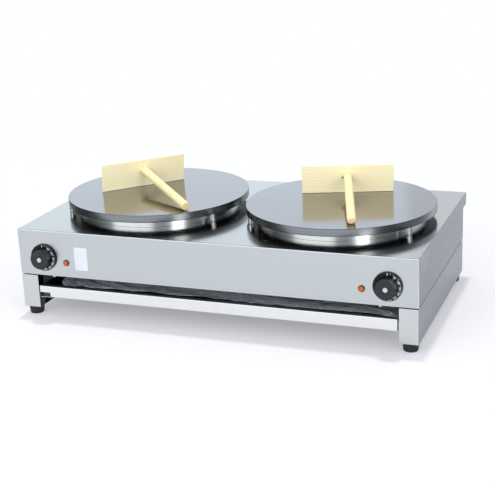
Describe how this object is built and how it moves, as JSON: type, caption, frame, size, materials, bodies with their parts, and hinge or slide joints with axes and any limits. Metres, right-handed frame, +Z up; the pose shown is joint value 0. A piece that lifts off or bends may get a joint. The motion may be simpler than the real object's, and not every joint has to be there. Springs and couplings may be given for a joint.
{
  "type": "electric twin-plate crepe maker",
  "caption": "Countertop electric crepe maker: round griddle plates on short posts over a low stainless casing with thermostat knobs, legs, a drip drawer and wooden batter spreaders.",
  "frame": {"origin": "middle of the overall bounding box, on the floor under the feet", "axes": "+X to the machine's right seen from the front, -Y out of the front panel, +Z up"},
  "size_m": [0.86, 0.503, 0.2854],
  "materials": {
    "stainless": "finely brushed stainless sheet",
    "stainless_side": "stainless sheet under clear film",
    "galvanised": "dull galvanised sheet",
    "foil": "wrinkled reflective film",
    "cast_iron": "ground and polished top, satin edge",
    "chrome_ring": "mirror polish",
    "post_steel": "turned steel",
    "element": "dark oxidised sheath",
    "copper": "plain drawn copper",
    "brass": "plain brass",
    "zinc": "zinc plated",
    "black_plastic": "satin black",
    "black_cap": "semi-gloss black",
    "ivory_plastic": "moulded, heat-proof",
    "amber": "clear amber lens",
    "label": "bare satin label",
    "rubber": "black rubber",
    "pine": "bare planed softwood"
  },
  "bodies": {
    "casing": {"base_rear_panel": "galvanised", "blank_label": "label", "bottom_cover": "galvanised", "cable_gland": "black_plastic", "casing_screws": "zinc", "clamp_nuts": "zinc", "clamp_studs": "zinc", "earth_stud": "brass", "foot_screws": "zinc", "front_left_foot": "rubber", "front_panel": "stainless", "front_right_foot": "rubber", "gland_nut": "black_plastic", "left_base_side": "stainless_side", "left_burner_ring": "chrome_ring", "left_drawer_rail": "galvanised", "left_element_clamp": "galvanised", "left_griddle_plate": "cast_iron", "left_heat_shield": "galvanised", "left_heating_element": "element", "left_lamp_body": "ivory_plastic", "left_lamp_lens": "amber", "left_sensor_bulb": "copper", "left_side_panel": "stainless_side", "left_support_posts": "post_steel", "left_thermostat": "ivory_plastic", "post_screws": "zinc", "rear_hood": "stainless", "rear_left_foot": "rubber", "rear_panel": "stainless", "rear_right_foot": "rubber", "right_base_side": "stainless_side", "right_burner_ring": "chrome_ring", "right_drawer_rail": "galvanised", "right_element_clamp": "galvanised", "right_griddle_plate": "cast_iron", "right_heat_shield": "galvanised", "right_heating_element": "element", "right_lamp_body": "ivory_plastic", "right_lamp_lens": "amber", "right_sensor_bulb": "copper", "right_side_panel": "stainless_side", "right_support_posts": "post_steel", "right_thermostat": "ivory_plastic", "terminal_block": "ivory_plastic", "thermostat_screws": "zinc", "top_panel": "stainless"},
    "left_knob": {"left_knob_dial": "black_plastic", "left_knob_cap": "black_cap", "left_spindle": "zinc"},
    "right_knob": {"right_knob_dial": "black_plastic", "right_knob_cap": "black_cap", "right_spindle": "zinc"},
    "drawer": {"drawer_tray": "galvanised", "drawer_front": "stainless", "tray_liner": "foil"},
    "left_spreader": {"left_spreader_board": "pine", "left_spreader_handle": "pine"},
    "right_spreader": {"right_spreader_board": "pine", "right_spreader_handle": "pine"}
  },
  "joints": [
    {"name": "left_knob_turn", "type": "hinge", "parent": "casing", "child": "left_knob", "pos_m": [-0.3705, -0.2285, 0.133], "axis": [0, 1, 0], "range_deg": [0, 270]},
    {"name": "right_knob_turn", "type": "hinge", "parent": "casing", "child": "right_knob", "pos_m": [0.3705, -0.2285, 0.133], "axis": [0, 1, 0], "range_deg": [0, 270]},
    {"name": "drawer_slide", "type": "slide", "parent": "casing", "child": "drawer", "axis": [0, -1, 0], "range_m": [0, 0.38]},
    {"name": "left_spreader_lift", "type": "slide", "parent": "casing", "child": "left_spreader", "axis": [0, 0, 1], "range_m": [0, 0.15]},
    {"name": "right_spreader_lift", "type": "slide", "parent": "casing", "child": "right_spreader", "axis": [0, 0, 1], "range_m": [0, 0.15]}
  ]
}
